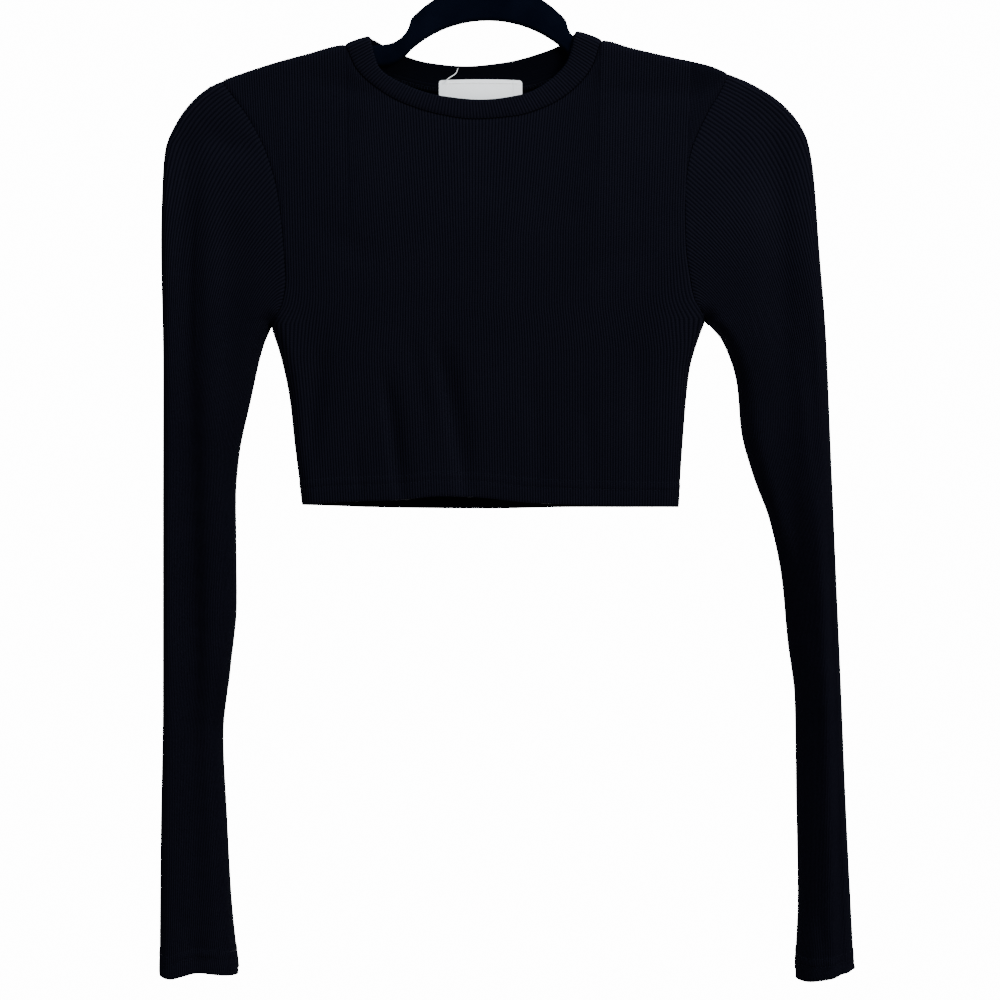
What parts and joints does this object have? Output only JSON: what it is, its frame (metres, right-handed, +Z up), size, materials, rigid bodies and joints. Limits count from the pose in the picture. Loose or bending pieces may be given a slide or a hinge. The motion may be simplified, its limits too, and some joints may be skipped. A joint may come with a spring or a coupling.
{
  "type": "cropped long-sleeved rib-knit top on a velvet hanger",
  "caption": "Close-fitting cropped top in fine rib knit with a round neckband and long set-in sleeves, hanging flat on a slim flocked hanger with a wire hook.",
  "frame": {"origin": "the point of the rail that the hook hangs from: the top of the hook's inside curve, in the middle plane of the hanger", "axes": "+Z up, +Y to the garment's back, +X along the hanger to the right of someone who faces the garment's front (the wearer's left)"},
  "size_m": [0.4793, 0.034, 0.7457],
  "materials": {
    "rib_knit": "fine cotton rib knit, very dark navy, matt",
    "flocking": "short flocked pile, near black",
    "label_white": "woven label, bare white",
    "chrome_wire": "bright plated wire"
  },
  "bodies": {
    "root": {"front": "rib_knit", "back": "rib_knit", "sleeve_left": "rib_knit", "sleeve_right": "rib_knit", "neckband": "rib_knit", "label": "label_white", "hanger": "flocking", "hook": "chrome_wire"}
  },
  "joints": []
}
